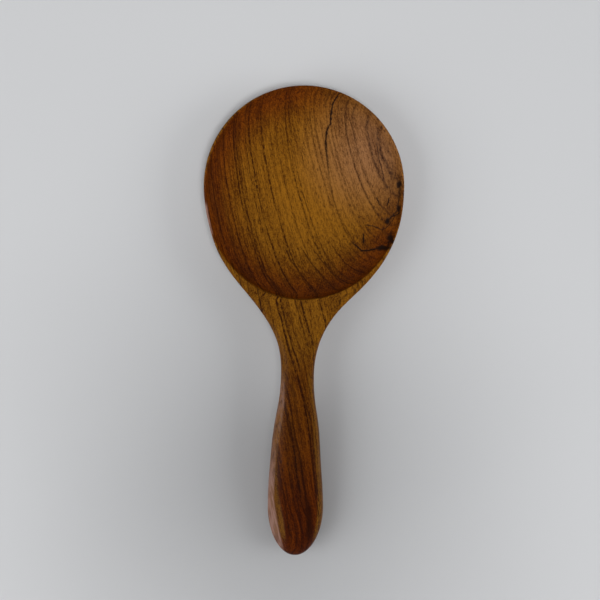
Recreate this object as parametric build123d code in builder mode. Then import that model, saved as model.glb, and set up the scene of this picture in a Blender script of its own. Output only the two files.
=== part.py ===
from build123d import *

import math
import os

# A rice paddle carved from one block of teak. A wide, shallow, round bowl runs through a raised
# neck into a bellied grip with a round end. The frame is +Z up, +Y towards the bowl's front lip,
# and the origin is the middle of the small flat foot under the bowl, on the table.

# Bowl: round in front, a longer oval behind, with a domed underside.
bowl_radius = 42.5
bowl_back_length = 53.6
rim_height = 15.5
rim_round = 0.7
foot_radius = 13.0

# Hollow: the lower part of one ellipsoid, whose middle lies a little above the front rim and a
# little behind the bowl's middle, so that the rim's top face widens towards the neck.
hollow_half_width = 42.6
hollow_half_length = 45.7
hollow_centre_rise = 3.0
hollow_centre_back = 2.8
floor_thickness = 4.5

# Neck: the narrowest place, arched clear of the table.
neck_distance = 82.0
neck_half_width = 7.0
neck_top = 19.2
neck_thickness = 9.6

# Grip: widest at the heel, where it comes down to the table again.
heel_distance = 137.0
grip_half_width = 11.9
grip_thickness = 14.8
heel_flat = 0.2
end_length = 21.0
end_height = 7.6

# Handles of the quarter curves of a section, as shares of its half width and height. A quarter
# ellipse has the oval share on both, and a fuller, flatter quarter has more.
oval_share = 0.5523
bowl_top_flat_share = 0.97
grip_top_flat_share = 0.80

# Sections behind the bowl's middle follow the bowl's oval first. Each stands at a share of the
# way to the neck.
oval_shares = (0.0, 0.125, 0.25, 0.375, 0.5)

# Sections from there to the neck. Each has its share of the way to the neck, of the bowl's extra
# width, of the underside's rise to the neck, and of the top's change from a flat rim to the
# neck's rounded back.
shoulder_shares = (
    (0.625, 0.541, 0.54, 0.10),
    (0.750, 0.199, 0.86, 0.34),
    (0.875, 0.032, 0.97, 0.70),
    (1.000, 0.000, 1.00, 1.00),
)

# Sections from the neck to the heel, evenly spaced too: each has its share of the grip's extra
# width, of the underside's fall to the table, and of the top's fall.
grip_shares = (
    (0.145, 0.10, 0.02),
    (0.455, 0.34, 0.10),
    (0.665, 0.61, 0.25),
    (0.800, 0.84, 0.46),
    (0.940, 0.97, 0.72),
    (1.000, 1.00, 1.00),
)

# Places of the sections round the end of the grip, in degrees from the heel towards the tip.
end_section_angles = (22, 41, 57, 71, 82)


def between(start, end, share):
    return start + (end - start) * share


def smooth(share):
    """Ease from 0 to 1 with level ends."""
    return share * share * (3 - 2 * share)


def quarters(half_width, top, widest, bottom, flat_share):
    """Control points of a section's upper right and lower right quarter curves."""
    upper = (
        (0, top),
        (half_width * flat_share, top),
        (half_width, between(widest, top, oval_share)),
        (half_width, widest),
    )
    lower = (
        (half_width, widest),
        (half_width, between(widest, bottom, oval_share)),
        (half_width * oval_share, bottom),
        (0, bottom),
    )
    return upper, lower


def left(points):
    """The same quarter curve on the left, running the other way."""
    return tuple((-across, height) for across, height in reversed(points))


def cross_section(distance, upper, lower):
    """Face across the paddle. Its quarters stay four curves, so a loft joins like to like."""
    curves = [Bezier(*points) for points in (upper, lower, left(lower), left(upper))]
    outline = Wire([curve.edge() for curve in curves])
    return Face(outline).moved(Plane.XZ.offset(distance).location)


# The dome under the bowl is half an ellipsoid whose bottom is cut off at the table, so that the
# cut is as wide as the foot.
rim_side = rim_height - rim_round
foot_share = 1 - math.sqrt(1 - (foot_radius / bowl_radius) ** 2)
dome_depth = rim_side / (1 - foot_share)

neck_bottom = neck_top - neck_thickness
body_sections = []
for along in oval_shares:
    distance = neck_distance * along
    oval_cosine = math.sqrt(1 - (distance / bowl_back_length) ** 2)
    half_width = bowl_radius * oval_cosine
    top = between(rim_height, neck_top, smooth(along))
    bottom = rim_side - dome_depth * oval_cosine
    body_sections.append(
        (distance, *quarters(half_width, top, top - rim_round, bottom, bowl_top_flat_share))
    )

oval_half_width = half_width
oval_bottom = bottom
for along, width_share, rise_share, round_share in shoulder_shares:
    distance = neck_distance * along
    half_width = between(neck_half_width, oval_half_width, width_share)
    top = between(rim_height, neck_top, smooth(along))
    bottom = between(oval_bottom, neck_bottom, rise_share)
    widest = top - between(rim_round, neck_thickness / 2, round_share)
    flat_share = between(bowl_top_flat_share, grip_top_flat_share, round_share)
    body_sections.append((distance, *quarters(half_width, top, widest, bottom, flat_share)))

heel_bottom = -heel_flat
heel_top = heel_bottom + grip_thickness
for number, (width_share, fall_share, top_fall_share) in enumerate(grip_shares, 1):
    distance = between(neck_distance, heel_distance, number / len(grip_shares))
    half_width = between(neck_half_width, grip_half_width, width_share)
    top = between(neck_top, heel_top, top_fall_share)
    bottom = between(neck_bottom, heel_bottom, fall_share)
    widest = (top + bottom) / 2
    body_sections.append(
        (distance, *quarters(half_width, top, widest, bottom, grip_top_flat_share))
    )

end_sections = [body_sections[-1]]
for angle in end_section_angles:
    turn = math.radians(angle)
    distance = heel_distance + end_length * math.sin(turn)
    half_width = grip_half_width * math.cos(turn)
    top = between(end_height, heel_top, math.cos(turn))
    bottom = between(end_height, heel_bottom, math.cos(turn))
    widest = (top + bottom) / 2
    end_sections.append(
        (distance, *quarters(half_width, top, widest, bottom, grip_top_flat_share))
    )

body_faces = [cross_section(*place) for place in body_sections]
end_faces = [cross_section(*place) for place in end_sections]
tip = Vertex(0, -heel_distance - end_length, end_height)

# Half of the bowl's middle section. Its two quarters stay two curves, so the rim's round and the
# dome turn into a face each.
_, front_upper, front_lower = body_sections[0]
front_edges = (Bezier(*front_upper), Bezier(*front_lower), Line(front_lower[-1], front_upper[0]))
front_half = Plane.XZ * Face(Wire([curve.edge() for curve in front_edges]))

# The hollow is as deep as the floor leaves room for.
hollow_centre = rim_height + hollow_centre_rise
hollow_depth = hollow_centre - floor_thickness

# The ball's poles point sideways, so that both lie above the rim and none in the hollow.
with BuildPart() as hollow:
    Sphere(1, rotation=(0, -90, 0))
    scale(by=(hollow_half_width, hollow_half_length, hollow_depth))

with BuildPart() as paddle:
    # Back of the bowl, shoulders, neck and grip, and the grip's round end.
    loft(sections=body_faces)
    loft(sections=[*end_faces, tip])

    # Round front of the bowl.
    revolve(front_half, axis=Axis.Z, revolution_arc=180)

    # The hollow is carved from above, down to the floor's thickness.
    with Locations((0, -hollow_centre_back, hollow_centre)):
        add(hollow.part, mode=Mode.SUBTRACT)

    # The foot and the heel are sanded flat on the table.
    split(bisect_by=Plane.XY, keep=Keep.TOP)

paddle.part.label = "paddle"
os.makedirs("parts", exist_ok=True)
export_step(paddle.part, "parts/paddle.step")
print("length", round(bowl_radius + heel_distance + end_length, 1))
print("volume", round(paddle.part.volume))
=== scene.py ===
import logging
import math
from dataclasses import dataclass, field
from enum import Enum

import bmesh
import bpy
import numpy as np
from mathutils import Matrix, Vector


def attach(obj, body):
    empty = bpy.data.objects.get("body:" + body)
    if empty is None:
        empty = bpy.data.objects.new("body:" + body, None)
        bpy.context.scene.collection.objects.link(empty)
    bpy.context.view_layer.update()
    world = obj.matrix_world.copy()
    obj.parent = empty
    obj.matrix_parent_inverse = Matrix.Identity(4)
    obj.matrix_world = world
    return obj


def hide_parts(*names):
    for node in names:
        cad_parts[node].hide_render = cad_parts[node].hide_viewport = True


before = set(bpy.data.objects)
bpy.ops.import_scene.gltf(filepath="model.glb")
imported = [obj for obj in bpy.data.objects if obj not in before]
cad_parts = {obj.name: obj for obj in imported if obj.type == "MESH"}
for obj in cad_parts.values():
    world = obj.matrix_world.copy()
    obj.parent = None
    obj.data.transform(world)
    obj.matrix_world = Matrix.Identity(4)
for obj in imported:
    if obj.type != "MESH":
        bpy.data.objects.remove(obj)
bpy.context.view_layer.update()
LOG = logging.getLogger("rice_paddle")

# Millimetres in a metre, the least width that is divided by, how far apart doubled vertices
# may lie, both in metres, and the value that Blender's noise wavers about.
MILLIMETRES = 1000.0
TINY = 1e-7
WELD_DISTANCE = 1e-6
NOISE_MIDDLE = 0.5

Socket = bpy.types.NodeSocket


class Side(Enum):
    """The two skins of the paddle that meet along the rim."""

    UPPER = "upper"
    UNDER = "under"


def between(start: float, end: float, share: np.ndarray) -> np.ndarray:
    """Value that lies a share of the way from start to end."""
    return start + (end - start) * share


def ease(share: np.ndarray) -> np.ndarray:
    """Ease from 0 to 1 with level ends: 3 s squared minus 2 s cubed."""
    share = np.clip(share, 0.0, 1.0)
    return share * share * (3.0 - 2.0 * share)


def crowded(start: float, steps: int) -> np.ndarray:
    """Sines of even steps of a quarter turn from start to 1, which crowd at the end."""
    return np.sin(np.pi / 2.0 * np.linspace(start, 1.0, steps + 1))


def soft_min(first: np.ndarray, second: np.ndarray, reach: float) -> np.ndarray:
    """Lower of two heights with a rounded meeting.

    Where the two differ by less than reach, the square of what is missing, over four times
    the reach, is taken off, so the crease turns into a small round.

    Args:
        first: One height field.
        second: The other height field.
        reach: Difference in height over which the crease is rounded.

    Returns:
        The rounded lower envelope.
    """
    missing = np.clip(reach - np.abs(first - second), 0.0, None)
    return np.minimum(first, second) - missing * missing / (4.0 * reach)


def soft_max(first: np.ndarray, second: np.ndarray, reach: float) -> np.ndarray:
    """Upper of two heights with a rounded meeting, as soft_min turned over."""
    return -soft_min(-first, -second, reach)


def smooth_line(knots: np.ndarray, values: np.ndarray, at: np.ndarray) -> np.ndarray:
    """Cubic line through hand-set values, level at both ends and smooth to its second slope.

    The slopes at the knots solve the tridiagonal system of a clamped cubic spline, and each
    stretch is then the cubic with those end values and end slopes.

    Args:
        knots: Rising places of the values.
        values: Values at the knots.
        at: Places where the line is wanted.

    Returns:
        The line's values, held constant past its ends.
    """
    step = np.diff(knots)
    rise = np.diff(values) / step
    count = len(knots)
    system = np.eye(count)
    wanted = np.zeros(count)
    inner = np.arange(1, count - 1)
    system[inner, inner - 1] = step[1:]
    system[inner, inner] = 2.0 * (step[:-1] + step[1:])
    system[inner, inner + 1] = step[:-1]
    wanted[inner] = 3.0 * (step[1:] * rise[:-1] + step[:-1] * rise[1:])
    slopes = np.linalg.solve(system, wanted)
    at = np.clip(at, knots[0], knots[-1])
    cell = np.clip(np.searchsorted(knots, at, side="right") - 1, 0, count - 2)
    share = (at - knots[cell]) / step[cell]
    rest = 1.0 - share
    return (
        values[cell] * (1.0 + 2.0 * share) * rest**2
        + slopes[cell] * step[cell] * share * rest**2
        + values[cell + 1] * share**2 * (3.0 - 2.0 * share)
        - slopes[cell + 1] * step[cell] * share**2 * rest
    )


def paired_line(pairs: tuple, at: np.ndarray) -> np.ndarray:
    """Smooth line through pairs of a place and a value."""
    knots, values = np.array(pairs).T
    return smooth_line(knots, values, at)


@dataclass
class PaddleForm:
    """Sizes of the carved paddle in metres, and its surfaces as height fields.

    Distances run back from the middle of the bowl towards the grip, offsets run across it to
    the right, and heights are above the table. The ridges and the sway are pairs of a
    distance and an offset.
    """

    bowl_radius: float = 0.0425
    bowl_back_length: float = 0.0536
    rim_height: float = 0.0155
    rim_round: float = 0.0007
    foot_radius: float = 0.013

    hollow_half_width: float = 0.0426
    hollow_half_length: float = 0.0457
    hollow_centre_rise: float = 0.003
    hollow_centre_back: float = 0.0028
    floor_thickness: float = 0.0045

    neck_distance: float = 0.082
    neck_half_width: float = 0.007
    neck_top: float = 0.0192
    neck_thickness: float = 0.0096

    heel_distance: float = 0.137
    grip_half_width: float = 0.0119
    grip_thickness: float = 0.0148
    heel_flat: float = 0.0002
    end_length: float = 0.021
    end_height: float = 0.0076

    # Sections of the bowl's oval: shares of the way to the neck.
    oval_shares: tuple = (0.0, 0.125, 0.25, 0.375, 0.5)

    # Sections of the shoulder: shares of the way to the neck, of the bowl's extra width, of
    # the underside's rise and of the change from a flat rim to a rounded back.
    shoulder_shares: tuple = (
        (0.625, 0.541, 0.54, 0.10),
        (0.750, 0.199, 0.86, 0.34),
        (0.875, 0.032, 0.97, 0.70),
        (1.000, 0.000, 1.00, 1.00),
    )

    # Sections from the neck to the heel: shares of the grip's extra width, of the underside's
    # fall and of the top's fall.
    grip_shares: tuple = (
        (0.145, 0.10, 0.02),
        (0.455, 0.34, 0.10),
        (0.665, 0.61, 0.25),
        (0.800, 0.84, 0.46),
        (0.940, 0.97, 0.72),
        (1.000, 1.00, 1.00),
    )

    lip_round: float = 0.00035
    foot_round: float = 0.0004
    rim_corner_round: float = 0.0006
    grip_corner_round: float = 0.0052
    crown_powers: tuple = (3.6, 120.0)
    beyond_slope: float = 40.0

    seam_distance: float = 0.058
    bevel_round: float = 0.0007
    bevel_slope: float = 0.95
    bevel_lead: float = 0.024
    bevel_lift: float = 0.05
    left_ridge: tuple = (
        (0.070, 0.0050), (0.082, 0.0050), (0.091, 0.0053), (0.099, 0.0061), (0.108, 0.0071),
        (0.116, 0.0078), (0.125, 0.0077), (0.134, 0.0068), (0.142, 0.0052), (0.151, 0.0038),
        (0.157, 0.0030),
    )
    right_ridge: tuple = (
        (0.070, 0.0060), (0.082, 0.0062), (0.103, 0.0086),
        (0.122, 0.0098), (0.137, 0.0098), (0.1566, 0.0080),
    )
    sway: tuple = (
        (0.0, 0.0), (0.016, 0.0003), (0.032, 0.0), (0.044, -0.0003), (0.053, -0.0008),
        (0.064, -0.0007), (0.080, -0.0007), (0.100, -0.0006), (0.118, -0.0006),
        (0.140, -0.0001), (0.158, 0.0),
    )

    def __post_init__(self) -> None:
        """Work out the station lines that every other shape reads."""
        self.rim_side = self.rim_height - self.rim_round
        foot_share = 1.0 - math.sqrt(1.0 - (self.foot_radius / self.bowl_radius) ** 2)
        self.dome_depth = self.rim_side / (1.0 - foot_share)
        self.neck_bottom = self.neck_top - self.neck_thickness
        self.heel_top = self.grip_thickness - self.heel_flat
        self.hollow_centre = self.rim_height + self.hollow_centre_rise
        self.hollow_depth = self.hollow_centre - self.floor_thickness
        self.tip_distance = self.heel_distance + self.end_length
        self._set_stations()

    def _set_stations(self) -> None:
        """Knots of the half width, underside, roundness and top lines from bowl to heel."""
        oval = self.neck_distance * np.array(self.oval_shares)
        cosine = np.sqrt(1.0 - (oval / self.bowl_back_length) ** 2)
        oval_width = self.bowl_radius * cosine
        oval_bottom = self.rim_side - self.dome_depth * cosine
        along, width, rise, roundness = np.array(self.shoulder_shares).T
        grip_width, fall, top_fall = np.array(self.grip_shares).T
        steps = np.arange(1, len(fall) + 1) / len(fall)
        self.knots = np.concatenate([
            oval, self.neck_distance * along,
            between(self.neck_distance, self.heel_distance, steps),
        ])
        self.width_knots = np.concatenate([
            oval_width,
            between(self.neck_half_width, oval_width[-1], width),
            between(self.neck_half_width, self.grip_half_width, grip_width),
        ])
        self.bottom_knots = np.concatenate([
            oval_bottom,
            between(oval_bottom[-1], self.neck_bottom, rise),
            between(self.neck_bottom, -self.heel_flat, fall),
        ])
        self.round_knots = np.concatenate([np.zeros(len(oval)), roundness, np.ones(len(fall))])
        self.top_fall_knots = np.concatenate([np.zeros(len(oval) + len(along)), top_fall])

    def end_cosine(self, distance: np.ndarray) -> np.ndarray:
        """How much of the heel's section is left at a distance: an ellipse's falling height."""
        past = np.clip((distance - self.heel_distance) / self.end_length, 0.0, 1.0)
        return np.sqrt(np.clip(1.0 - past * past, 0.0, 1.0))

    def front_cosine(self, distance: np.ndarray) -> np.ndarray:
        """How much of the bowl's middle section is left in front: a circle's falling width."""
        front = np.clip(-distance / self.bowl_radius, 0.0, 1.0)
        return np.sqrt(1.0 - front * front)

    def roundness(self, distance: np.ndarray) -> np.ndarray:
        """How round the section is, 0 for the bowl's flat rim and 1 for the neck's back."""
        return np.clip(smooth_line(self.knots, self.round_knots, distance), 0.0, 1.0)

    def half_width(self, distance: np.ndarray) -> np.ndarray:
        """Half the width of the outline: the width line, rounded off at both ends.

        Args:
            distance: Distances behind the bowl's middle.

        Returns:
            The half widths.
        """
        rows = smooth_line(self.knots, self.width_knots, distance)
        return rows * self.end_cosine(distance) * self.front_cosine(distance)

    def top_line(self, distance: np.ndarray) -> np.ndarray:
        """Height of the crest: eased up from rim to neck, then down by the shares of the fall.

        Args:
            distance: Distances behind the bowl's middle.

        Returns:
            The heights.
        """
        rise = between(self.rim_height, self.neck_top, ease(distance / self.neck_distance))
        fall = smooth_line(self.knots, self.top_fall_knots, distance)
        crest = between(rise, self.heel_top, fall)
        return between(self.end_height, crest, self.end_cosine(distance))

    def bottom_line(self, distance: np.ndarray) -> np.ndarray:
        """Height of the keel: the dome in front and the underside's line behind.

        Args:
            distance: Distances behind the bowl's middle.

        Returns:
            The heights, below 0 where the table cuts the dome off.
        """
        dome = self.rim_side - self.dome_depth * self.front_cosine(distance)
        keel = np.where(distance < 0.0, dome, smooth_line(self.knots, self.bottom_knots, distance))
        return between(self.end_height, keel, self.end_cosine(distance))

    def widest_line(self, distance: np.ndarray) -> np.ndarray:
        """Height at which the section is widest.

        It is the rim's round below the crest of the bowl, and halfway down the neck and the
        grip, with the roundness as the share between the two.

        Args:
            distance: Distances behind the bowl's middle.

        Returns:
            The heights.
        """
        top = self.top_line(distance)
        bottom = self.bottom_line(distance)
        past_neck = ease((distance - self.neck_distance) / self.neck_half_width)
        depth = between(self.neck_thickness / 2.0, (top - bottom) / 2.0, past_neck)
        return top - between(self.rim_round, depth, self.roundness(distance))

    def sway_line(self, distance: np.ndarray) -> np.ndarray:
        """Sideways shift of the section, as the grip was carved slightly off the long middle."""
        return paired_line(self.sway, distance)

    def edge_share(self, across: np.ndarray, distance: np.ndarray) -> np.ndarray:
        """How far out a point lies, 0 on the long middle and 1 on the outline.

        In front of the bowl's middle it is the radius over the bowl's radius. Behind, it is
        the offset across over the half width.

        Args:
            across: Offsets from the long middle.
            distance: Distances behind the bowl's middle.

        Returns:
            The shares.
        """
        radial = np.hypot(across, distance) / self.bowl_radius
        sideways = np.abs(across) / np.maximum(self.half_width(distance), TINY)
        return np.clip(np.where(distance < 0.0, radial, sideways), 0.0, 1.0)

    def under_height(self, across: np.ndarray, distance: np.ndarray) -> np.ndarray:
        """Height of the underside: a half ellipse across each section, cut flat at the table.

        Args:
            across: Offsets from the long middle.
            distance: Distances behind the bowl's middle.

        Returns:
            The heights.
        """
        share = np.clip(np.abs(across) / np.maximum(self.half_width(distance), TINY), 0.0, 1.0)
        widest = self.widest_line(distance)
        keel = self.bottom_line(distance)
        raw = widest - (widest - keel) * np.sqrt(1.0 - share * share)
        return soft_max(raw, np.zeros_like(raw), self.foot_round)

    def crown_height(self, across: np.ndarray, distance: np.ndarray) -> np.ndarray:
        """Height of the upper face without the hollow.

        Across a section it falls from the crest to the widest height as the square root of
        one less the edge share to a power. The power is the width over the corner's round, so
        the bowl has a crisp flat rim and the grip a soft shoulder. Two slanted planes, one
        each side, then cut the grip's soft bevels.

        Args:
            across: Offsets from the long middle.
            distance: Distances behind the bowl's middle.

        Returns:
            The heights.
        """
        share = self.edge_share(across, distance)
        roundness = self.roundness(distance)
        corner = between(self.rim_corner_round, self.grip_corner_round, roundness)
        power = np.clip(2.0 * self.half_width(distance) / corner, *self.crown_powers)
        top = self.top_line(distance)
        widest = self.widest_line(distance)
        crown = widest + (top - widest) * np.sqrt(np.clip(1.0 - share**power, 0.0, 1.0))
        return self._bevelled(crown, top, across, distance)

    def _bevelled(
        self, crown: np.ndarray, top: np.ndarray, across: np.ndarray, distance: np.ndarray
    ) -> np.ndarray:
        """Cut the grip's two bevels into the crown with rounded ridges.

        Each is a plane that falls outwards from its ridge. Over the bowl both are lifted clear
        of the wood, and they come down over the lead behind the seam.

        Args:
            crown: Heights of the upper face.
            top: Heights of its crest.
            across: Offsets from the long middle.
            distance: Distances behind the bowl's middle.

        Returns:
            The heights with the bevels.
        """
        onset = self.bevel_lift * (1.0 - ease((distance - self.seam_distance) / self.bevel_lead))
        for ridge, turned in ((self.left_ridge, -1.0), (self.right_ridge, 1.0)):
            offset = paired_line(ridge, distance)
            plane = top - self.bevel_slope * (turned * across - offset) + onset
            crown = soft_min(crown, plane, self.bevel_round)
        return crown

    def hollow_height(self, across: np.ndarray, distance: np.ndarray) -> np.ndarray:
        """Height of the hollow's ellipsoid, and of a steep rise outside it.

        Args:
            across: Offsets from the long middle.
            distance: Distances behind the bowl's middle.

        Returns:
            The heights.
        """
        side = across / self.hollow_half_width
        along = (distance - self.hollow_centre_back) / self.hollow_half_length
        inside = 1.0 - side * side - along * along
        depth = np.sqrt(np.clip(inside, 0.0, None)) + self.beyond_slope * np.clip(inside, None, 0.0)
        return self.hollow_centre - self.hollow_depth * depth

    def upper_height(self, across: np.ndarray, distance: np.ndarray) -> np.ndarray:
        """Height of the whole upper face, with the hollow let into the crown."""
        crown = self.crown_height(across, distance)
        return soft_min(crown, self.hollow_height(across, distance), self.lip_round)


def keep(mesh: bpy.types.Mesh, name: str, values: np.ndarray) -> None:
    """Keep one number for each point of a mesh under a name."""
    mesh.attributes.new(name, "FLOAT", "POINT").data.foreach_set("value", values)


def points_of(mesh: bpy.types.Mesh) -> np.ndarray:
    """Places of a mesh's points.

    Args:
        mesh: The mesh.

    Returns:
        One place in metres in each row.
    """
    places = np.empty(3 * len(mesh.vertices))
    mesh.vertices.foreach_get("co", places)
    return places.reshape(-1, 3)


def linked(name: str, mesh: bpy.types.Mesh) -> bpy.types.Object:
    """Object of a mesh at the origin, linked into the scene.

    Args:
        name: Name of the object.
        mesh: Its mesh.

    Returns:
        The object.
    """
    made = bpy.data.objects.new(name, mesh)
    bpy.context.scene.collection.objects.link(made)
    return made


def welded(name: str, points: list, faces: list) -> bpy.types.Object:
    """Join grids into one closed mesh object at the origin.

    Args:
        name: Name of the object and its mesh.
        points: Arrays of vertices: a place in metres, a place on the flat layout, and 1 on
            the upper skin or 0 on the underside.
        faces: Arrays of four corners each, counted within their own grid.

    Returns:
        The linked object, smooth shaded, with its layout and with doubled vertices merged.
    """
    shifts = np.cumsum([0] + [len(block) for block in points[:-1]])
    corners = np.vstack([block + shift for block, shift in zip(faces, shifts)])
    places = np.vstack(points)
    mesh = bpy.data.meshes.new(name)
    mesh.from_pydata(places[:, :3].tolist(), [], corners.tolist())
    layout = mesh.uv_layers.new(name="OFBake")
    layout.data.foreach_set("uv", places[corners.ravel(), 3:5].ravel())
    keep(mesh, "upper", places[:, 5])
    shape = bmesh.new()
    shape.from_mesh(mesh)
    bmesh.ops.remove_doubles(shape, verts=shape.verts, dist=WELD_DISTANCE)
    shape.to_mesh(mesh)
    shape.free()
    mesh.polygons.foreach_set("use_smooth", np.ones(len(mesh.polygons), dtype=bool))
    mesh.update()
    return linked(name, mesh)


def quads(rows: int, columns: int, closed: bool, turned: bool) -> np.ndarray:
    """Corners of the faces of a grid of rows by columns.

    Args:
        rows: Number of rows of vertices.
        columns: Number of vertices in a row.
        closed: Whether the last column joins the first.
        turned: Whether the faces look the other way.

    Returns:
        One line of four vertex numbers for each face.
    """
    row, column = np.meshgrid(np.arange(rows - 1), np.arange(columns - (not closed)), indexing="ij")
    across = (column + 1) % columns
    faces = np.stack([
        row * columns + column, row * columns + across,
        (row + 1) * columns + across, (row + 1) * columns + column,
    ], axis=-1).reshape(-1, 4)
    return faces[:, ::-1] if turned else faces


@dataclass
class PaddleSurface:
    """The carved paddle as one closed mesh of grids that share their edges.

    The bowl is a fan of rays from its middle: over the hollow to its lip, over the rim to the
    outline, and along the dome underneath. Behind the bowl the rays end on a straight seam,
    and the grip runs on from there as rings. On the flat layout the two skins lie side by
    side, and the rooms are shares by which their steep sides are spread.
    """

    form: PaddleForm
    outline_samples: int = 6001
    outline_rays: int = 300
    seam_rays: int = 64
    hollow_rows: int = 64
    band_rows: int = 18
    dome_rows: int = 64
    lip_start: float = 0.5
    halvings: int = 40
    ring_spacing: float = 0.00065
    end_rings: int = 30

    bowl_room: float = 0.14
    grip_room: float = 0.6
    end_room: float = 0.006
    layout_margin: float = 0.001
    upper_middle: float = 0.25
    under_middle: float = 0.75

    def ray_ends(self) -> tuple:
        """Ends of the rays: round the outline from the seam's right end, then along the seam.

        The outline's parts are the half width line on the right, the front circle and the
        half width line on the left. Its rays are spaced evenly by length. Seam rays follow
        the sine of an even step, so that they crowd towards the outline.

        Returns:
            Offsets across and distances behind the bowl's middle of all the ends.
        """
        form = self.form
        dense = np.linspace(0.0, 3.0, self.outline_samples)
        across, distance = self._outline(dense)
        run = np.concatenate([[0.0], np.cumsum(np.hypot(np.diff(across), np.diff(distance)))])
        even = np.linspace(0.0, run[-1], self.outline_rays + 1)
        across, distance = self._outline(np.interp(even, run, dense))
        seam_width = form.half_width(np.array([form.seam_distance]))[0]
        seam_across = seam_width * crowded(-1.0, self.seam_rays)[1:-1]
        return (
            np.concatenate([across, seam_across]),
            np.concatenate([distance, np.full(len(seam_across), form.seam_distance)]),
        )

    def _outline(self, place: np.ndarray) -> tuple:
        """Outline of the bowl: its right side, its front circle and its left side.

        Args:
            place: Places from 0 to 3, one whole number for each part.

        Returns:
            Offsets across and distances behind the bowl's middle.
        """
        form = self.form
        right = np.clip(place, 0.0, 1.0)
        turn = np.pi * np.clip(place - 1.0, 0.0, 1.0)
        left = np.clip(place - 2.0, 0.0, 1.0)
        on_right = place < 1.5
        back = np.where(on_right, form.seam_distance * (1.0 - right), form.seam_distance * left)
        side = form.half_width(back) * np.where(on_right, 1.0, -1.0)
        on_front = (place > 1.0) & (place < 2.0)
        across = np.where(on_front, form.bowl_radius * np.cos(turn), side)
        distance = np.where(on_front, -form.bowl_radius * np.sin(turn), back)
        return across, distance

    def lip_share(self, across: np.ndarray, distance: np.ndarray) -> np.ndarray:
        """Share of each ray at which the hollow comes up to the crown, by halving.

        Args:
            across: Offsets of the rays' ends.
            distance: Distances of the rays' ends behind the bowl's middle.

        Returns:
            The shares.
        """
        form = self.form
        low = np.full(len(across), self.lip_start)
        high = np.ones(len(across))
        for _ in range(self.halvings):
            middle = (low + high) / 2.0
            place = (across * middle, distance * middle)
            gap = form.hollow_height(*place) - form.crown_height(*place)
            low = np.where(gap < 0.0, middle, low)
            high = np.where(gap < 0.0, high, middle)
        return (low + high) / 2.0

    def upper_fan(self) -> np.ndarray:
        """Shares of the ray lengths for the rows of the hollow and then of the rim band.

        The hollow's rows crowd towards the lip as a sine, and the band's rows crowd at both
        of its edges as a cosine.

        Returns:
            A row of shares for each row of the fan.
        """
        lip = self.lip_share(*self.ray_ends())
        hollow = crowded(0.0, self.hollow_rows)
        band = (1.0 - np.cos(np.pi * np.linspace(0.0, 1.0, self.band_rows + 1)[1:])) / 2.0
        return np.vstack([hollow[:, None] * lip, lip + band[:, None] * (1.0 - lip)])

    def bowl_grid(self, side: Side) -> tuple:
        """Fan of rays over one skin of the bowl.

        Args:
            side: The skin.

        Returns:
            Its vertices, as _laid gives them, and its faces.
        """
        across, distance = self.ray_ends()
        if side is Side.UPPER:
            shares = self.upper_fan()
        else:
            shares = crowded(0.0, self.dome_rows)[:, None] * np.ones(len(across))
        return self._grid(side, across * shares, distance * shares, closed=True)

    def ring_distances(self) -> np.ndarray:
        """Distances of the grip's rings, even to the heel and then round the end's ellipse.

        Returns:
            The distances behind the bowl's middle.
        """
        form = self.form
        count = int((form.heel_distance - form.seam_distance) / self.ring_spacing)
        straight = np.linspace(form.seam_distance, form.heel_distance, count + 1)
        past = form.end_length * crowded(0.0, self.end_rings)[1:]
        return np.concatenate([straight, form.heel_distance + past])

    def grip_grid(self, side: Side) -> tuple:
        """Rings over one skin of the neck and grip, from the seam to the tip.

        Args:
            side: The skin.

        Returns:
            Its vertices, as _laid gives them, and its faces.
        """
        distance = self.ring_distances()[:, None]
        across = self.form.half_width(distance) * crowded(-1.0, self.seam_rays)[None, :]
        return self._grid(side, across, distance * np.ones_like(across), closed=False)

    def _grid(
        self, side: Side, across: np.ndarray, distance: np.ndarray, closed: bool
    ) -> tuple:
        """Vertices and faces of one grid laid on one skin.

        Args:
            side: The skin.
            across: Offsets from the long middle, by row and column.
            distance: Distances behind the bowl's middle, by row and column.
            closed: Whether the last column joins the first.

        Returns:
            Its vertices and its faces.
        """
        upper = side is Side.UPPER
        surface = self.form.upper_height if upper else self.form.under_height
        faces = quads(*across.shape, closed=closed, turned=upper)
        return self._laid(side, across, distance, surface(across, distance)), faces

    def _laid(
        self, side: Side, across: np.ndarray, distance: np.ndarray, height: np.ndarray
    ) -> np.ndarray:
        """Vertex places, their place on the flat layout and their side, six numbers each.

        On the layout the offset from the middle is stretched by one plus a room times one
        less the cosine of the edge share's arc sine, so that the steep sides get room.

        Args:
            side: The skin.
            across: Offsets from the long middle.
            distance: Distances behind the bowl's middle.
            height: Heights above the table.

        Returns:
            One row for each vertex.
        """
        form = self.form
        upper = side is Side.UPPER
        share = form.edge_share(across, distance)
        room = between(self.bowl_room, self.grip_room, form.roundness(distance))
        spread = 1.0 + room * (1.0 - np.sqrt(1.0 - share * share))
        past_heel = self.end_room * (1.0 - form.end_cosine(distance))
        flat_distance = distance * np.where(distance < 0.0, spread, 1.0) + past_heel
        front = form.bowl_radius * (1.0 + self.bowl_room)
        length = front + form.tip_distance + self.end_room + 2.0 * self.layout_margin
        middle = self.upper_middle if upper else self.under_middle
        flat_u = middle + across * spread / length
        flat_v = 1.0 - (front + self.layout_margin + flat_distance) / length
        placed = across + form.sway_line(distance)
        rows = [placed, -distance, height, flat_u, flat_v, np.full_like(height, float(upper))]
        return np.stack(rows, axis=-1).reshape(-1, len(rows))

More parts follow.
